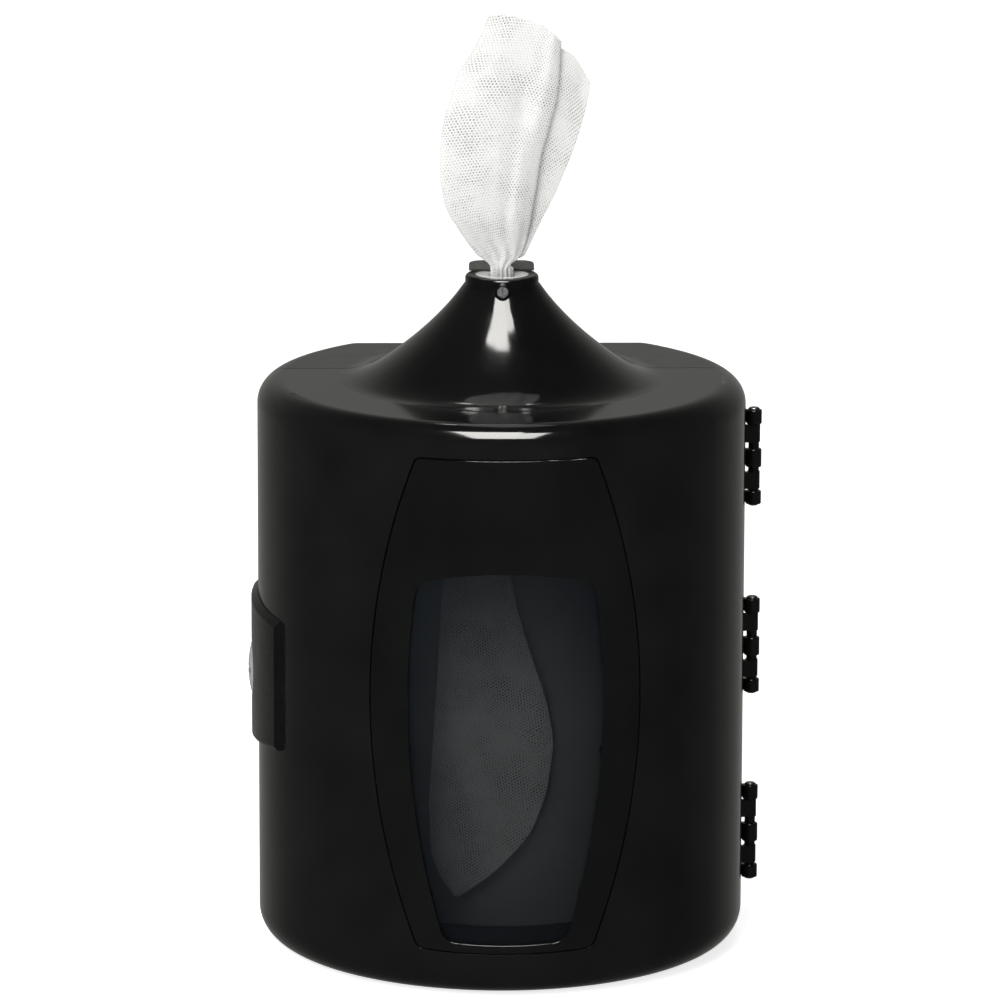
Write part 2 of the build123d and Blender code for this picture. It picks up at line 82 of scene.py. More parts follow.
def ramp(nt, fac, stops):
    n = nt.nodes.new("ShaderNodeValToRGB")
    e = n.color_ramp.elements
    while len(e) < len(stops):
        e.new(0.5)
    for i, (pos, col) in enumerate(stops):
        e[i].position = pos
        if isinstance(col, (int, float)):
            col = (col, col, col)
        e[i].color = (col[0], col[1], col[2], 1.0)
    nt.links.new(fac, n.inputs[0])
    return n.outputs[0]


def remap(nt, val, a, b, c, d):
    n = nt.nodes.new("ShaderNodeMapRange")
    n.clamp = True
    n.inputs[1].default_value = a
    n.inputs[2].default_value = b
    n.inputs[3].default_value = c
    n.inputs[4].default_value = d
    nt.links.new(val, n.inputs[0])
    return n.outputs[0]


def bump(nt, height, dist, strength=1.0, normal=None):
    n = nt.nodes.new("ShaderNodeBump")
    n.inputs["Strength"].default_value = strength
    n.inputs["Distance"].default_value = dist
    nt.links.new(height, n.inputs["Height"])
    if normal is not None:
        nt.links.new(normal, n.inputs["Normal"])
    return n.outputs[0]


def coords(nt, kind="Object", scale=None):
    n = nt.nodes.new("ShaderNodeTexCoord")
    v = n.outputs[kind]
    if scale is not None:
        m = nt.nodes.new("ShaderNodeMapping")
        m.inputs["Scale"].default_value = scale
        nt.links.new(v, m.inputs["Vector"])
        v = m.outputs[0]
    return v


def plastic(name, dark, light, rough=(0.07, 0.15), spec=0.35, peel=0.00002, grain=0.0, grain_scale=2600.0, coat=0.0):
    """Moulded plastic: faint tone clouds, uneven gloss, slight moulding ripple, optional fine texture."""
    m, nt, b = blank(name)
    o = coords(nt)
    clouds = noise(nt, o, 28.0, 4.0, 0.55)
    nt.links.new(ramp(nt, clouds, [(0.32, dark), (0.68, light)]), b.inputs["Base Color"])
    haze = noise(nt, o, 75.0, 5.0, 0.62, 0.4)
    fine = noise(nt, o, 1900.0, 2.0, 0.5)
    gloss = math_node(nt, "ADD", math_node(nt, "MULTIPLY", haze, 0.75), math_node(nt, "MULTIPLY", fine, 0.25))
    nt.links.new(remap(nt, gloss, 0.34, 0.66, rough[0], rough[1]), b.inputs["Roughness"])
    ripple = noise(nt, o, 46.0, 2.0, 0.4)
    n = bump(nt, ripple, peel)
    if grain > 0.0:
        g = noise(nt, o, grain_scale, 3.0, 0.6)
        n = bump(nt, g, grain, 1.0, n)
    nt.links.new(n, b.inputs["Normal"])
    b.inputs["Specular IOR Level"].default_value = spec
    if coat > 0.0:
        b.inputs["Coat Weight"].default_value = coat
        b.inputs["Coat Roughness"].default_value = 0.05
    return m


def metal(name, tone, rough, scratch=0.000006, metallic=1.0):
    m, nt, b = blank(name)
    o = coords(nt)
    stretched = coords(nt, "Object", (900.0, 900.0, 9000.0))
    brushed = noise(nt, stretched, 1.0, 4.0, 0.6)
    stain = noise(nt, o, 420.0, 4.0, 0.6)
    lo = tuple(t * 0.78 for t in tone)
    nt.links.new(ramp(nt, stain, [(0.3, lo), (0.65, tone)]), b.inputs["Base Color"])
    nt.links.new(remap(nt, brushed, 0.3, 0.7, rough[0], rough[1]), b.inputs["Roughness"])
    nt.links.new(bump(nt, brushed, scratch), b.inputs["Normal"])
    b.inputs["Metallic"].default_value = metallic
    return m


def wipes(name, tone=(0.86, 0.86, 0.845), hole_shade=(0.30, 0.30, 0.30), holes=1.0, shade=0.93, bump_mm=0.10):
    """Spunlaced wipe: staggered small perforations laid out on the sheet's own metres, with painted shade in them, and
    matted fibres.
    """
    m, nt, b = blank(name)
    o = coords(nt)
    uv = coords(nt, "UV")
    wobble = nt.nodes.new("ShaderNodeTexNoise")
    wobble.inputs["Scale"].default_value = 140.0
    wobble.inputs["Detail"].default_value = 2.0
    nt.links.new(uv, wobble.inputs["Vector"])
    sub = nt.nodes.new("ShaderNodeVectorMath"); sub.operation = "SUBTRACT"
    nt.links.new(wobble.outputs[1], sub.inputs[0]); sub.inputs[1].default_value = (0.5, 0.5, 0.5)
    scl = nt.nodes.new("ShaderNodeVectorMath"); scl.operation = "SCALE"
    nt.links.new(sub.outputs[0], scl.inputs[0]); scl.inputs[3].default_value = 0.0011
    add = nt.nodes.new("ShaderNodeVectorMath"); add.operation = "ADD"
    nt.links.new(uv, add.inputs[0]); nt.links.new(scl.outputs[0], add.inputs[1])
    sep = nt.nodes.new("ShaderNodeSeparateXYZ")
    nt.links.new(add.outputs[0], sep.inputs[0])
    y = math_node(nt, "DIVIDE", sep.outputs[1], PITCH * 0.82)
    row = math_node(nt, "FLOOR", y)
    fy = math_node(nt, "SUBTRACT", math_node(nt, "FRACT", y), 0.5)
    odd = math_node(nt, "MODULO", row, 2.0)
    x = math_node(nt, "ADD", math_node(nt, "DIVIDE", sep.outputs[0], PITCH), math_node(nt, "MULTIPLY", odd, 0.5))
    fx = math_node(nt, "SUBTRACT", math_node(nt, "FRACT", x), 0.5)
    d2 = math_node(nt, "ADD", math_node(nt, "MULTIPLY", fx, fx), math_node(nt, "MULTIPLY", math_node(nt, "MULTIPLY", fy, fy), 0.8))
    d = math_node(nt, "SQRT", d2)
    dot = remap(nt, d, 0.16, 0.33, 1.0, 0.0)
    patch = noise(nt, uv, 55.0, 3.0, 0.55)
    open_ = remap(nt, patch, 0.40, 0.62, 0.30, 1.0)
    fibre = noise(nt, coords(nt, "UV", (5200.0, 1300.0, 1.0)), 1.0, 4.0, 0.65, 0.6)
    mat = noise(nt, o, 700.0, 4.0, 0.6)
    each = noise(nt, uv, 900.0, 1.0, 0.5)
    dot = math_node(nt, "MULTIPLY", dot, math_node(nt, "MULTIPLY", open_, remap(nt, each, 0.38, 0.60, 0.45, 1.0)))
    base = ramp(nt, math_node(nt, "ADD", math_node(nt, "MULTIPLY", fibre, 0.5), math_node(nt, "MULTIPLY", mat, 0.5)),
                [(0.30, tuple(t * shade for t in tone)), (0.62, tone)])
    # the perforations are painted darker with the hole colour, as painted shade in the dimples
    mix = nt.nodes.new("ShaderNodeMix"); mix.data_type = "RGBA"
    nt.links.new(math_node(nt, "MULTIPLY", dot, holes), mix.inputs[0])
    nt.links.new(base, mix.inputs[6])
    mix.inputs[7].default_value = (hole_shade[0], hole_shade[1], hole_shade[2], 1.0)
    nt.links.new(mix.outputs[2], b.inputs["Base Color"])
    nt.links.new(remap(nt, fibre, 0.3, 0.7, 0.82, 0.97), b.inputs["Roughness"])
    h = math_node(nt, "SUBTRACT", math_node(nt, "MULTIPLY", fibre, 0.35), dot)
    nt.links.new(bump(nt, h, bump_mm / 1000.0), b.inputs["Normal"])
    b.inputs["Specular IOR Level"].default_value = 0.2
    b.inputs["Sheen Weight"].default_value = 0.25
    b.inputs["Sheen Roughness"].default_value = 0.5
    return m


abs_body = plastic("abs_gloss_black", (0.0046, 0.0046, 0.0046), (0.0072, 0.0072, 0.0070), (0.07, 0.13), 0.34, 0.000020)
abs_rear = plastic("abs_rear_black", (0.0052, 0.0052, 0.0050), (0.0078, 0.0078, 0.0074), (0.16, 0.24), 0.36, 0.000018)
abs_panel = plastic("abs_panel_black", (0.0036, 0.0037, 0.0038), (0.0055, 0.0056, 0.0056), (0.06, 0.11), 0.32, 0.000014)
pad_black = plastic("pad_satin_black", (0.0034, 0.0034, 0.0034), (0.0052, 0.0052, 0.0051), (0.22, 0.31), 0.26, 0.000012, 0.000010, 1500.0)
collar_mat = plastic("collar_black", (0.0040, 0.0040, 0.0040), (0.0065, 0.0065, 0.0063), (0.10, 0.18), 0.36, 0.000012)
tray_mat = plastic("tray_matt_grey", (0.030, 0.031, 0.032), (0.042, 0.043, 0.044), (0.38, 0.52), 0.35, 0.000010, 0.000020, 1200.0)
retainer_mat = plastic("retainer_black", (0.007, 0.007, 0.007), (0.010, 0.010, 0.010), (0.28, 0.40), 0.35, 0.000010)
lip_mat = plastic("lip_grey_plastic", (0.060, 0.060, 0.054), (0.082, 0.082, 0.074), (0.30, 0.42), 0.4, 0.000010, 0.000008, 1800.0)
white_mat = plastic("orifice_white_plastic", (0.78, 0.78, 0.76), (0.86, 0.86, 0.84), (0.26, 0.38), 0.5, 0.000012, 0.000004, 2200.0)
knob_mat = plastic("lock_knob_grey", (0.30, 0.30, 0.30), (0.37, 0.37, 0.365), (0.20, 0.30), 0.5, 0.000010, 0.000006, 2400.0)
pin_mat = metal("hinge_pin_steel", (0.20, 0.20, 0.20), (0.22, 0.36))
zinc_mat = metal("zinc_plate", (0.55, 0.56, 0.58), (0.26, 0.40), 0.000006, 0.8)
screw_mat = metal("screw_steel", (0.66, 0.66, 0.64), (0.18, 0.32), 0.000006, 0.75)

pane_mat, _nt, _b = blank("smoked_pane")
_o = coords(_nt)
_nt.links.new(ramp(_nt, noise(_nt, _o, 22.0, 3.0, 0.5), [(0.3, (0.0045, 0.0060, 0.0080)), (0.7, (0.0060, 0.0080, 0.0100))]), _b.inputs["Base Color"])
_nt.links.new(remap(_nt, noise(_nt, _o, 60.0, 4.0, 0.6), 0.35, 0.65, 0.035, 0.075), _b.inputs["Roughness"])
_nt.links.new(bump(_nt, noise(_nt, _o, 40.0, 2.0, 0.4), 0.000012), _b.inputs["Normal"])
_b.inputs["Specular IOR Level"].default_value = 0.4
# the pane grows more opaque towards the top, painting shade over the top of the roll seen through it
_ps = _nt.nodes.new("ShaderNodeSeparateXYZ")
_nt.links.new(_o, _ps.inputs[0])
_pa = remap(_nt, _ps.outputs[2], -0.010, 0.055, 0.0, 1.0)
_pz = math_node(_nt, "ADD", math_node(_nt, "MULTIPLY", _pa, 0.15), 0.475)
_pn = math_node(_nt, "MULTIPLY", noise(_nt, _o, 30.0, 2.0, 0.5), 0.03)
_nt.links.new(math_node(_nt, "ADD", _pz, _pn), _b.inputs["Alpha"])

# the second colour of each wipe is the painted shade in its perforations
wipe_mat = wipes("wipe_spunlace", (0.84, 0.84, 0.82), (0.10, 0.10, 0.10), 1.0, 0.90, 0.16)
flap_mat = wipes("wipe_spunlace_roll", (0.82, 0.83, 0.82), (0.02, 0.02, 0.02), 1.0, 0.85, 0.30)
lead_mat = wipes("wipe_spunlace_lead", (0.84, 0.84, 0.82), (0.40, 0.40, 0.39), 0.7, 0.88, 0.10)

# the roll's outer turn of white wipe is painted mid grey as shade inside the housing, with painted shade in its
# perforations
roll_wall_shade_mat = wipes("roll_wall_painted_shade", (0.44, 0.45, 0.45), (0.20, 0.205, 0.20), 0.6, 0.92, 0.05)

# the roll's wound ends of white wipe are painted grey as shade inside the housing
roll_end_shade_mat, _nt, _b = blank("roll_wound_end_painted_shade")
_o = coords(_nt)
_sep = _nt.nodes.new("ShaderNodeSeparateXYZ")
_mv = _nt.nodes.new("ShaderNodeVectorMath"); _mv.operation = "SUBTRACT"
_mv.inputs[1].default_value = (0.0, AXIS_Y, 0.0)
_nt.links.new(_o, _mv.inputs[0])
_nt.links.new(_mv.outputs[0], _sep.inputs[0])
_r = math_node(_nt, "SQRT", math_node(_nt, "ADD", math_node(_nt, "MULTIPLY", _sep.outputs[0], _sep.outputs[0]),
                                      math_node(_nt, "MULTIPLY", _sep.outputs[1], _sep.outputs[1])))
_wob = noise(_nt, _o, 30.0, 2.0, 0.5)
# the gaps between the wound turns are painted darker as shade
_turn = math_node(_nt, "FRACT", math_node(_nt, "ADD", math_node(_nt, "DIVIDE", _r, 0.00075), math_node(_nt, "MULTIPLY", _wob, 1.6)))
_line = remap(_nt, math_node(_nt, "ABSOLUTE", math_node(_nt, "SUBTRACT", _turn, 0.5)), 0.30, 0.48, 0.0, 1.0)
_cloud = noise(_nt, _o, 160.0, 5.0, 0.6)
_mx = _nt.nodes.new("ShaderNodeMix"); _mx.data_type = "RGBA"
_nt.links.new(math_node(_nt, "MULTIPLY", _line, 0.55), _mx.inputs[0])
_nt.links.new(ramp(_nt, _cloud, [(0.3, (0.34, 0.345, 0.34)), (0.7, (0.46, 0.465, 0.455))]), _mx.inputs[6])
_mx.inputs[7].default_value = (0.20, 0.205, 0.20, 1.0)
_nt.links.new(_mx.outputs[2], _b.inputs["Base Color"])
_nt.links.new(remap(_nt, _cloud, 0.3, 0.7, 0.55, 0.85), _b.inputs["Roughness"])
_nt.links.new(bump(_nt, math_node(_nt, "SUBTRACT", _cloud, _line), 0.00018), _b.inputs["Normal"])
_b.inputs["Specular IOR Level"].default_value = 0.3

finish = {
    "rear_housing": abs_rear, "hinge_pins": pin_mat, "lock_strike": zinc_mat, "strike_screws": screw_mat,
    "roll_tray": tray_mat, "tray_screws": screw_mat,
    "front_cover": abs_body, "front_panel": abs_panel, "window_pane": pane_mat, "window_retainer": retainer_mat,
    "panel_screws": screw_mat, "nozzle_collar": collar_mat, "orifice_insert": white_mat, "nozzle_lip": lip_mat,
    "nozzle_screw": screw_mat, "lock_pad": pad_black, "lock_sleeve": zinc_mat, "lock_nut": zinc_mat,
    "lock_knob": knob_mat, "lock_cam": zinc_mat, "cam_screw": screw_mat, "cam_washer": zinc_mat,
}
for name, mat in finish.items():
    ob = nodes[name]
    if not ob.material_slots:
        ob.data.materials.append(mat)
    for s in ob.material_slots:
        s.link = "OBJECT"
        s.material = mat


# ---------------------------------------------------------------- mesh helpers

def grid_object(name, pts, uvs, close_u=False, mat=None):
    """pts[rows][cols] -> quads; uvs are in metres of flat sheet."""
    pts = np.asarray(pts, float)
    rows, cols = pts.shape[:2]
    verts = pts.reshape(-1, 3)
    faces = []
    last = cols if close_u else cols - 1
    for i in range(rows - 1):
        for j in range(last):
            k = (j + 1) % cols
            faces.append((i * cols + j, i * cols + k, (i + 1) * cols + k, (i + 1) * cols + j))
    me = bpy.data.meshes.new(name)
    me.from_pydata([tuple(v) for v in verts], [], faces)
    lay = me.uv_layers.new(name="UVMap")
    uvs = np.asarray(uvs, float)
    out = np.zeros((len(me.loops), 2))
    li = 0
    for i in range(rows - 1):
        for j in range(last):
            k = j + 1
            for (a, b_) in ((i, j), (i, k), (i + 1, k), (i + 1, j)):
                if b_ >= uvs.shape[1]:
                    b_ = b_ - cols
                    u = uvs[a, b_].copy()
                    u[0] += uvs[a, -1, 0] * cols / (cols - 1)
                else:
                    u = uvs[a, b_]
                out[li] = u
                li += 1
    lay.data.foreach_set("uv", out.reshape(-1))
    me.polygons.foreach_set("use_smooth", [True] * len(me.polygons))
    me.update()
    ob = bpy.data.objects.new(name, me)
    bpy.context.scene.collection.objects.link(ob)
    if mat is not None:
        me.materials.append(mat)
    return ob


def smooth(x, a, b):
    t = np.clip((np.asarray(x, float) - a) / (b - a), 0.0, 1.0)
    return t * t * (3.0 - 2.0 * t)


def along(points, t):
    """Point at fraction t (0..1) of a polyline smoothed by a monotone chord parameter."""
    p = np.asarray(points, float)
    seg = np.linalg.norm(np.diff(p, axis=0), axis=1)
    s = np.concatenate([[0.0], np.cumsum(seg)])
    s /= s[-1]
    # Catmull-Rom in the chord parameter
    t = np.clip(t, 0.0, 1.0)
    i = int(np.clip(np.searchsorted(s, t, side="right") - 1, 0, len(p) - 2))
    h = s[i + 1] - s[i]
    u = (t - s[i]) / h

    def tangent(k):
        if k == 0:
            return (p[1] - p[0]) / (s[1] - s[0])
        if k == len(p) - 1:
            return (p[-1] - p[-2]) / (s[-1] - s[-2])
        return (p[k + 1] - p[k - 1]) / (s[k + 1] - s[k - 1])

    m0 = tangent(i) * h
    m1 = tangent(i + 1) * h
    return ((2 * u ** 3 - 3 * u ** 2 + 1) * p[i] + (u ** 3 - 2 * u ** 2 + u) * m0
            + (-2 * u ** 3 + 3 * u ** 2) * p[i + 1] + (u ** 3 - u ** 2) * m1)


def hash_noise(x, y, seed=0):
    """Smooth value noise, the same every run."""
    x = np.asarray(x, float)
    y = np.asarray(y, float)
    xi = np.floor(x)
    yi = np.floor(y)
    fx = x - xi
    fy = y - yi
    fx = fx * fx * (3 - 2 * fx)
    fy = fy * fy * (3 - 2 * fy)

    def h(a, b):
        n = np.sin(a * 127.1 + b * 311.7 + seed * 74.7) * 43758.5453
        return n - np.floor(n)

    return ((h(xi, yi) * (1 - fx) + h(xi + 1, yi) * fx) * (1 - fy)
            + (h(xi, yi + 1) * (1 - fx) + h(xi + 1, yi + 1) * fx) * fy) * 2 - 1


# ---------------------------------------------------------------- the wipe pulled out of the nozzle

MM = 0.001
LEFT = [(-6.6, 187.2), (-9.2, 189.4), (-13.1, 193.6), (-19.0, 201.6), (-22.9, 207.7), (-26.9, 214.1), (-29.8, 225.0),
        (-30.8, 237.4), (-29.8, 254.7), (-25.9, 270.5), (-22.1, 281.9), (-18.2, 288.3), (-11.9, 299.1), (-6.6, 311.8)]
GROOVE = [(5.6, 187.2), (7.6, 189.3), (8.9, 191.2), (12.7, 205.1), (15.1, 217.6), (17.1, 230.0), (19.0, 242.3), (22.3, 254.7), (26.2, 269.5),
          (27.6, 281.8), (28.6, 298.6)]
RIGHT = [(7.2, 187.2), (9.6, 189.4), (13.8, 197.7), (20.1, 211.1), (25.9, 222.5), (30.7, 233.9), (35.0, 244.8), (38.9, 257.2), (42.2, 271.0),
         (42.9, 277.4)]
TOP_A = [(-6.6, 311.8), (1.2, 311.6), (8.5, 310.3), (15.8, 307.9), (22.1, 305.2), (28.6, 298.6)]


def coons(left, right, top, s, t):
    """Patch between two side curves, straight at the foot and following top at the head."""
    pl = along(left, t)
    pr = along(right, t)
    tp = along(top, s)
    b = (1 - s) * np.asarray(left[0], float) + s * np.asarray(right[0], float)
    corners = ((1 - s) * (1 - t) * np.asarray(left[0], float) + s * (1 - t) * np.asarray(right[0], float)
               + (1 - s) * t * np.asarray(left[-1], float) + s * t * np.asarray(right[-1], float))
    return (1 - s) * pl + s * pr + (1 - t) * b + t * tp - corners


FOLD_S = 0.42          # how far back under the front panel the pleat runs
TUCK = 0.965           # hidden layers stop short of the front panel's top edge


def tail_section(t, count):
    """Across the sheet at height t: back layer, left fold, front panel, pleat, right panel."""
    raw = []
    amp = float(smooth(t, 0.0, 0.22))
    # D: behind, from the hidden free edge to the left fold
    for s in np.linspace(0.66, 0.03, 16):
        k = 1.0 - (1.0 - TUCK) * float(smooth(s, 0.0, 0.12))
        x, z = coons(LEFT, GROOVE, TOP_A, s, t * k)
        raw.append((x, 3.9 * amp + 0.7 * math.sin(3.0 * s + 5.0 * t), z))
    # left fold
    x, z = coons(LEFT, GROOVE, TOP_A, 0.0, t)
    raw.append((x, 0.4 * amp, z))
    # A: front panel
    for s in np.linspace(0.035, 0.965, 30):
        x, z = coons(LEFT, GROOVE, TOP_A, s, t)
        y = -(1.9 + 4.2 * math.sin(math.pi * min(1.0, s * 0.95 + 0.03)) ** 0.8 * math.sin(math.pi * min(0.93, 0.12 + t * 0.78))) * amp
        y += 2.3 * math.exp(-(((x - 9.5) / 4.2) ** 2 + ((z - 268.0) / 9.5) ** 2))          # dimple
        y += 1.2 * math.exp(-(((x + 13.0) / 7.0) ** 2 + ((z - 246.0) / 8.0) ** 2))
        y -= 1.0 * math.exp(-(((x + 4.0) / 8.0) ** 2 + ((z - 288.0) / 9.0) ** 2))
        cx = 2.0 + (z - 187.0) * 0.125
        y -= 1.15 * math.exp(-((x - cx) / 2.1) ** 2) * float(smooth(z, 262.0, 240.0))        # soft crease
        y -= 1.25 * math.exp(-((s - 0.86) / 0.075) ** 2) * amp                                # roll before the groove
        raw.append((x, y, z))
    # groove fold
    x, z = coons(LEFT, GROOVE, TOP_A, 1.0, t)
    raw.append((x + 0.3, -1.1 * amp, z - 0.4))
    # B: under the front panel
    for s in np.linspace(0.955, FOLD_S + 0.04, 12):
        k = 1.0 - (1.0 - TUCK) * float(smooth(1.0 - s, 0.0, 0.12))
        x, z = coons(LEFT, GROOVE, TOP_A, s, t * k)
        raw.append((x, 0.1 * amp + 0.25 * math.sin(9.0 * s), z))
    # inner fold and C: right panel
    m_curve = [tuple(coons(LEFT, GROOVE, TOP_A, FOLD_S, q * TUCK)) for q in np.linspace(0.0, 1.0, 9)]
    top_c = [m_curve[-1], (21.0, 300.2), (28.8, 294.6), (34.8, 290.7), (39.2, 284.3), (42.9, 277.4)]
    for s in np.linspace(0.0, 1.0, 34):
        x, z = coons(m_curve, RIGHT, top_c, s, t)
        y = (1.5 + 1.2 * s * s * 2.0 - 1.9 * math.exp(-((s - 1.0) / 0.10) ** 2) + 0.8 * math.sin(5.2 * s + 3.0 * t)) * (0.35 + 0.65 * amp)
        raw.append((x, y, z))
    raw = np.asarray(raw)
    seg = np.linalg.norm(np.diff(raw, axis=0), axis=1)
    s = np.concatenate([[0.0], np.cumsum(seg)])
    mark = s[16] / s[-1]                      # where the left fold is
    q = np.linspace(0.0, 1.0, count) * s[-1]
    out = np.stack([np.interp(q, s, raw[:, k]) for k in range(3)], axis=1)
    # soften the corners of the folds
    for _ in range(3):
        out[1:-1] = 0.25 * out[:-2] + 0.5 * out[1:-1] + 0.25 * out[2:]
    return out, mark


def build_tail():
    cols = 300
    heads = np.concatenate([np.linspace(0.0, 0.22, 46)[:-1], np.linspace(0.22, 1.0, 110)])
    rows = []
    q = np.linspace(0.0, 1.0, cols)
    mark = 0.27
    pleats = 13
    for t in heads:
        sec, mark = tail_section(t, cols)
        z = sec[:, 2]
        # gather towards the throat
        w = 1.0 - smooth(z, 185.0, 193.0)
        ang = math.pi + 2 * math.pi * 0.93 * (q - mark)
        rr = 5.9 * (0.80 + 0.18 * np.cos(2 * math.pi * pleats * q))
        gx = rr * np.cos(ang)
        gy = rr * np.sin(ang)
        fall = np.exp(-np.maximum(z - 187.0, 0.0) / 17.0)
        rip = 0.95 * np.sin(2 * math.pi * pleats * q + 0.6) * fall + 0.22 * np.sin(2 * math.pi * 5.0 * q + z * 0.05)
        x = sec[:, 0] * (1 - w) + gx * w
        y = (sec[:, 1] + rip) * (1 - w) + gy * w
        cap = 6.6 + 30.0 * smooth(z, 186.5, 198.0)
        r = np.hypot(x, y)
        lim = np.minimum(1.0, cap / np.maximum(r, 1e-6)) * smooth(z, 240.0, 190.0) + 1.0 - smooth(z, 240.0, 190.0)
        y = y * np.minimum(lim, 1.0)
        rows.append(np.stack([x, y, z], axis=1))
    # down the throat
    base = rows[0]
    throat = []
    for z in np.linspace(165.5, 186.4, 14):
        f = (z - 165.5) / 20.9
        rad = 4.9 + 1.0 * f
        ang = math.pi + 2 * math.pi * 0.93 * (q - mark) + 0.25 * (1 - f)
        rr = rad * (0.78 + 0.20 * np.cos(2 * math.pi * pleats * q))
        throat.append(np.stack([rr * np.cos(ang), rr * np.sin(ang), np.full(cols, z)], axis=1))
    rows = throat + rows
    pts = np.asarray(rows)
    # cut edge is slightly ragged
    rag = 0.22 * hash_noise(q * 210.0, np.full(cols, 3.0), 5)
    pts[-1, :, 2] += rag
    pts[-2, :, 2] += rag * 0.5
    n_rows = len(rows)
    # flat coordinates: across the sheet by q, along it by the summed steps of the widest columns
    step = np.median(np.linalg.norm(np.diff(pts, axis=0), axis=2), axis=1)
    v = np.concatenate([[0.0], np.cumsum(step)])
    wide = np.linalg.norm(np.diff(pts[n_rows // 2 + 10], axis=0), axis=1).sum()
    uv = np.zeros((n_rows, cols, 2))
    uv[:, :, 0] = q[None, :] * wide * MM
    uv[:, :, 1] = v[:, None] * MM
    # the sheet leans with its pull, so the rows of holes run slightly across
    a = math.radians(-9.0)
    u0 = uv[:, :, 0].copy()
    v0 = uv[:, :, 1].copy()
    uv[:, :, 0] = u0 * math.cos(a) - v0 * math.sin(a)
    uv[:, :, 1] = u0 * math.sin(a) + v0 * math.cos(a)
    pts = pts * MM
    pts[:, :, 1] += AXIS_Y
    return grid_object("wipe_sheet_tail", pts, uv, mat=wipe_mat)


tail = build_tail()
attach(tail, "cover")
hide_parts("wipe_tail")


# ---------------------------------------------------------------- the sheet gathered up from the roll to the throat

def build_lead():
    rows, cols, pleats = 120, 336, 13
    pts = np.zeros((rows, cols, 3))
    uv = np.zeros((rows, cols, 2))
    f = np.linspace(0.0, 1.0, rows)
    th = np.linspace(0.0, 2 * math.pi, cols, endpoint=False)
    for i, k in enumerate(f):
        z = -13.0 + 171.6 * k
        rad = 14.6 + (4.3 - 14.6) * (k ** 0.85)
        tw = 2.3 * k + 0.25 * math.sin(9.0 * k)
        mod = 0.70 + 0.26 * np.cos(pleats * th + 0.8 * math.sin(6.0 * k)) + 0.035 * np.cos(5 * th + 7.0 * k)
        r = rad * mod
        pts[i, :, 0] = r * np.cos(th + tw)
        pts[i, :, 1] = r * np.sin(th + tw)
        pts[i, :, 2] = z
        uv[i, :, 0] = th / (2 * math.pi) * 0.2
        uv[i, :, 1] = k * 0.175
    pts *= MM
    pts[:, :, 1] += AXIS_Y
    return grid_object("wipe_lead_gathered", pts, uv, close_u=True, mat=lead_mat)


lead = build_lead()
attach(lead, "housing")
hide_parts("wipe_lead")


# ---------------------------------------------------------------- the wound roll

def build_roll():
    R, r0, z0, z1, edge = 73.6, 17.4, -133.2, 69.4, 2.2
    prof = [(r0, z0 + 1.0)]
    for r in np.linspace(r0 + 1.0, R - edge, 150):
        prof.append((r, z0))
    for a in np.linspace(-90, 0, 7)[1:]:
        prof.append((R - edge + edge * math.cos(math.radians(a)), z0 + edge + edge * math.sin(math.radians(a))))
    for z in np.linspace(z0 + edge, z1 - edge, 110)[1:-1]:
        prof.append((R, z))
    for a in np.linspace(0, 90, 7):
        prof.append((R - edge + edge * math.cos(math.radians(a)), z1 - edge + edge * math.sin(math.radians(a))))
    for r in np.linspace(R - edge, r0 + 1.0, 150)[1:]:
        prof.append((r, z1))
    prof.append((r0, z1 - 1.0))
    for z in np.linspace(z1 - 4.0, z0 + 4.0, 40):
        prof.append((r0, z))
    prof = np.asarray(prof)
    cols = 300
    th = np.linspace(0.0, 2 * math.pi, cols, endpoint=False)
    rows = len(prof) + 1
    pts = np.zeros((rows, cols, 3))
    uv = np.zeros((rows, cols, 2))
    for i in range(rows):
        r, z = prof[i % len(prof)]
        rr = np.full(cols, r)
        zz = np.full(cols, z)
        if abs(z - z0) < 1e-6 or abs(z - z1) < 1e-6:
            side = 1.0 if z > 0 else -1.0
            zz = zz + side * 0.38 * np.sin(2 * math.pi * (r / 2.3 + th / (2 * math.pi) * 1.0)) \
                - side * 0.35 + side * 0.35 * hash_noise(r / 2.3 + 40, th * 0 + 1, 3)
            zz = zz - side * 0.9 * np.exp(-((r - r0) / 5.0) ** 2)
        elif r > R - 1.0:
            wind = hash_noise(th / (2 * math.pi) * 9.0, th * 0 + z / 90.0, 8)
            wind_end = hash_noise(np.zeros(cols), th * 0 + z / 90.0, 8)
            blend = smooth(th, 2 * math.pi - 0.7, 2 * math.pi)
            rr = rr - 0.25 + 0.22 * (wind * (1 - blend) + wind_end * blend)
        pts[i, :, 0] = rr * np.cos(th)
        pts[i, :, 1] = rr * np.sin(th)
        pts[i, :, 2] = zz
        uv[i, :, 0] = th * 0.0736
        uv[i, :, 1] = i * 0.0018
    pts *= MM
    pts[:, :, 1] += AXIS_Y
    ob = grid_object("wipes_roll_wound", pts, uv, close_u=True, mat=roll_end_shade_mat)
    ob.data.materials.append(roll_wall_shade_mat)
    wall_row = [1 if prof[i % len(prof)][0] > R - 0.4 else 0 for i in range(rows)]
    ob.data.polygons.foreach_set("material_index", [wall_row[i] for i in range(rows - 1) for _ in range(cols)])
    return ob


roll = build_roll()
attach(roll, "housing")
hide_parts("wipes_roll")


# ---------------------------------------------------------------- loose end of the web on the roll, behind the window

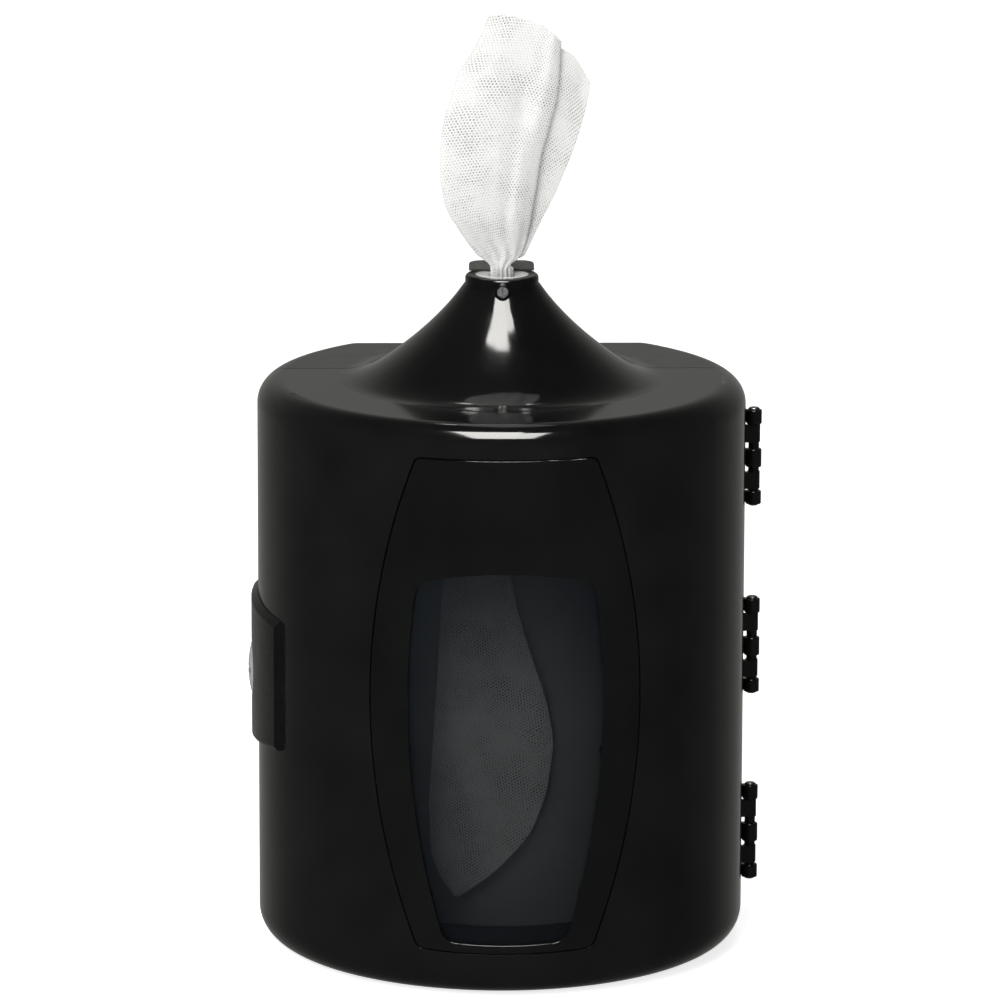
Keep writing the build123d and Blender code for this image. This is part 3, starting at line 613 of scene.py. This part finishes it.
def build_flap():
    zl = [-111.5, -101.0, -90.1, -65.2, -14.3, 36.2, 69.4]
    xl = [-23.5, -31.5, -35.7, -38.1, -34.3, -31.0, -29.0]
    zr = [-111.5, -104.0, -95.3, -78.0, -58.3, -33.4, -13.0, 2.3, 17.6, 37.6, 69.4]
    xr = [-21.5, -11.5, -1.7, 12.9, 20.2, 23.6, 20.0, 15.1, 10.2, 5.2, 0.0]
    zz_all = np.linspace(-111.5, 69.4, 240)

    def eased(zk, xk):
        curve = np.interp(zz_all, zk, xk)
        keep = curve.copy()
        for _ in range(60):
            curve[1:-1] = 0.25 * curve[:-2] + 0.5 * curve[1:-1] + 0.25 * curve[2:]
        curve[:6] = keep[:6] * (1 - np.arange(6) / 6.0) + curve[:6] * (np.arange(6) / 6.0)
        return curve

    left_edge = eased(zl, xl)
    right_edge = eased(zr, xr)
    rows, cols = 120, 70
    pts = np.zeros((rows + 16, cols, 3))
    uv = np.zeros((rows + 16, cols, 2))
    s = np.linspace(0.0, 1.0, cols)
    for i in range(rows):
        z = -111.5 + (69.4 + 111.5) * i / (rows - 1)
        a = np.interp(z, zz_all, left_edge)
        b = np.interp(z, zz_all, right_edge)
        x = a + (b - a) * s
        near_low = float(1 - smooth(z, -108.0, -60.0))
        lift = 0.9 + 4.2 * smooth(s, 0.62, 1.0) * float(smooth(z, 45.0, 10.0)) + 2.6 * near_low \
            + 0.8 * np.sin(5.0 * s + z * 0.05) * (0.4 + near_low)
        lift = np.maximum(lift, 0.8)
        lift = lift * float(smooth(z, 69.4, 55.0)) + 0.8 * (1 - float(smooth(z, 69.4, 55.0)))
        r = 73.9 + lift
        ang = x / 75.0
        pts[i, :, 0] = r * np.sin(ang)
        pts[i, :, 1] = -r * np.cos(ang)
        pts[i, :, 2] = z
        uv[i, :, 0] = x
        uv[i, :, 1] = z
    # over the roll's top edge and in towards the bore
    x = pts[rows - 1, :, 0]
    ang = np.arctan2(pts[rows - 1, :, 0], -pts[rows - 1, :, 1])
    wide = uv[rows - 1, :, 0]
    for j in range(16):
        k = (j + 1) / 16.0
        e = min(1.0, k * 3.0) * math.pi / 2
        rin = 74.7 - 2.4 * (1 - math.cos(e)) - 30.0 * max(0.0, k - 1 / 3.0)
        zz = 69.4 + 1.9 * math.sin(e) + 0.5 * math.sin(9 * k)
        pts[rows + j, :, 0] = rin * np.sin(ang * (1 - 0.25 * k))
        pts[rows + j, :, 1] = -rin * np.cos(ang * (1 - 0.25 * k))
        pts[rows + j, :, 2] = zz
        uv[rows + j, :, 0] = wide
        uv[rows + j, :, 1] = 69.4 + 26.0 * k
    a = math.radians(24.0)
    u0 = uv[:, :, 0].copy()
    v0 = uv[:, :, 1].copy()
    uv[:, :, 0] = u0 * math.cos(a) - v0 * math.sin(a)
    uv[:, :, 1] = u0 * math.sin(a) + v0 * math.cos(a)
    pts *= MM
    uv *= MM
    pts[:, :, 1] += AXIS_Y
    return grid_object("wipe_flap_on_roll", pts, uv, mat=flap_mat)


flap = build_flap()
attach(flap, "housing")


# ---------------------------------------------------------------- stage

def stage_floor():
    n = 40
    size = 30.0
    x = np.linspace(-size, size, n)
    pts = np.zeros((n, n, 3))
    pts[:, :, 0] = x[None, :]
    pts[:, :, 1] = x[:, None]
    pts[:, :, 2] = -0.1512
    ob = grid_object("studio_floor", pts, pts[:, :, :2])
    m = bpy.data.materials.new("studio_floor_pale")
    m.use_nodes = True
    nt = m.node_tree
    b = nt.nodes["Principled BSDF"]
    o = coords(nt)
    nt.links.new(ramp(nt, noise(nt, o, 3.0, 3.0, 0.5), [(0.3, (0.80, 0.80, 0.80)), (0.7, (0.82, 0.82, 0.82))]), b.inputs["Base Color"])
    b.inputs["Roughness"].default_value = 0.9
    b.inputs["Specular IOR Level"].default_value = 0.0
    b.inputs["Emission Color"].default_value = (1.0, 1.0, 1.0, 1.0)
    b.inputs["Emission Strength"].default_value = 0.80
    ob.data.materials.append(m)
    ob.visible_glossy = False
    return ob


floor = stage_floor()

world = bpy.data.worlds.new("studio_world")
bpy.context.scene.world = world
world.use_nodes = True
wn = world.node_tree
wn.nodes.clear()
w_out = wn.nodes.new("ShaderNodeOutputWorld")
w_bg = wn.nodes.new("ShaderNodeBackground")
w_white = wn.nodes.new("ShaderNodeBackground")
w_white.inputs[0].default_value = (1.0, 1.0, 1.0, 1.0)
w_white.inputs[1].default_value = 1.0
w_mix = wn.nodes.new("ShaderNodeMixShader")
w_path = wn.nodes.new("ShaderNodeLightPath")
w_tc = wn.nodes.new("ShaderNodeTexCoord")
w_sep = wn.nodes.new("ShaderNodeSeparateXYZ")
wn.links.new(w_tc.outputs["Generated"], w_sep.inputs[0])
# the room is dim in front, dimmer still to the sides, brightest behind, and dimmer overhead
back = ramp(wn, remap(wn, w_sep.outputs[1], -1.0, 1.0, 0.0, 1.0),
            [(0.0, (0.100, 0.102, 0.106)), (0.25, (0.062, 0.063, 0.065)), (0.50, (0.045, 0.045, 0.046)),
             (0.72, (0.085, 0.085, 0.083)), (0.90, (0.20, 0.20, 0.19)), (1.0, (0.29, 0.29, 0.272))])
high = remap(wn, w_sep.outputs[2], 0.35, 0.8, 1.0, 0.30)
w_mul = wn.nodes.new("ShaderNodeMix")
w_mul.data_type = "RGBA"
w_mul.blend_type = "MULTIPLY"
w_mul.inputs[0].default_value = 1.0
wn.links.new(back, w_mul.inputs[6])
wn.links.new(high, w_mul.inputs[7])
wn.links.new(w_mul.outputs[2], w_bg.inputs[0])
w_bg.inputs[1].default_value = 1.0
wn.links.new(w_path.outputs["Is Camera Ray"], w_mix.inputs[0])
wn.links.new(w_bg.outputs[0], w_mix.inputs[1])
wn.links.new(w_white.outputs[0], w_mix.inputs[2])
wn.links.new(w_mix.outputs[0], w_out.inputs[0])


def area(name, loc, target, sx, sy, radiance, color=(1.0, 1.0, 1.0), glossy=True, diffuse=True):
    """A soft panel of sx by sy metres, facing target, with the given surface brightness."""
    data = bpy.data.lights.new(name, "AREA")
    data.shape = "RECTANGLE"
    data.size = sx
    data.size_y = sy
    data.energy = radiance * math.pi * sx * sy
    data.color = color
    ob = bpy.data.objects.new(name, data)
    bpy.context.scene.collection.objects.link(ob)
    loc = Vector(loc)
    look = (Vector(target) - loc).normalized()
    ref = Vector((0, 1, 0)) if abs(look.z) > 0.9 else Vector((0, 0, 1))
    x = look.cross(ref).normalized()
    y = x.cross(look).normalized()
    ob.matrix_world = Matrix((
        (x.x, y.x, -look.x, loc.x),
        (x.y, y.y, -look.y, loc.y),
        (x.z, y.z, -look.z, loc.z),
        (0, 0, 0, 1)))
    ob.visible_camera = False
    ob.visible_glossy = glossy
    ob.visible_diffuse = diffuse
    return ob


# overhead softbox in two parts, seen in the cone and in the top edge of the cover
area("softbox_top", (-0.12, -0.81, 1.75), (-0.12, -0.81, 0.0), 0.56, 1.10, 26.0, (1.0, 0.985, 0.95), True, False)
area("softbox_top_side", (0.28, -0.90, 1.75), (0.28, -0.90, 0.0), 0.24, 0.92, 24.0, (1.0, 0.985, 0.95), True, False)
# slim tube behind it
area("tube_back", (0.0, 1.48, 1.75), (0.0, 1.48, 0.0), 0.36, 0.16, 9.0, (1.0, 0.99, 0.96), True, False)
# broad fill from the front for the white cloth, kept out of the gloss
area("fill_front", (-1.1, -2.6, 1.7), (0.0, -0.1, 0.15), 1.6, 1.6, 6.4, (1.0, 1.0, 1.0), False)
area("fill_left", (-2.5, -0.6, 1.2), (0.0, -0.1, 0.15), 1.2, 1.6, 3.0, (1.0, 1.0, 1.0), False)
area("fill_right", (2.3, -1.6, 1.3), (0.0, -0.1, 0.15), 1.2, 1.2, 0.45, (1.0, 1.0, 1.0), False)
# light from above for pale level faces, kept out of the gloss
area("fill_top", (0.0, -0.4, 1.9), (0.0, -0.1, 0.1), 1.0, 1.0, 3.2, (1.0, 1.0, 1.0), False)
# floor wash
area("wash", (0.0, 1.2, 4.5), (0.0, 1.2, 0.0), 6.0, 6.0, 0.55, (1.0, 1.0, 1.0), False)

scene = bpy.context.scene
scene.view_settings.view_transform = "Standard"
scene.view_settings.look = "None"
scene.view_settings.exposure = 0.0
scene.view_settings.gamma = 1.0

# ---------------------------------------------------------------- camera at the photograph's angle

yaw = math.radians(1.18)
pitch = math.radians(12.9)
rollc = math.radians(0.16)
right = Vector((math.cos(yaw), -math.sin(yaw), 0.0))
fwd = Vector((math.cos(pitch) * math.sin(yaw), math.cos(pitch) * math.cos(yaw), -math.sin(pitch)))
up = Vector((math.sin(pitch) * math.sin(yaw), math.sin(pitch) * math.cos(yaw), math.cos(pitch)))
r2 = right * math.cos(rollc) + up * math.sin(rollc)
u2 = up * math.cos(rollc) - right * math.sin(rollc)
cam_data = bpy.data.cameras.new("photo_camera")
cam_data.sensor_fit = "HORIZONTAL"
cam_data.sensor_width = 36.0
cam_data.lens = 260.68
cam_data.clip_start = 0.1
cam_data.clip_end = 200.0
cam = bpy.data.objects.new("photo_camera", cam_data)
scene.collection.objects.link(cam)
cam.matrix_world = Matrix((
    (r2.x, u2.x, -fwd.x, -0.0721),
    (r2.y, u2.y, -fwd.y, -3.5641),
    (r2.z, u2.z, -fwd.z, 0.8672),
    (0.0, 0.0, 0.0, 1.0)))
scene.camera = cam
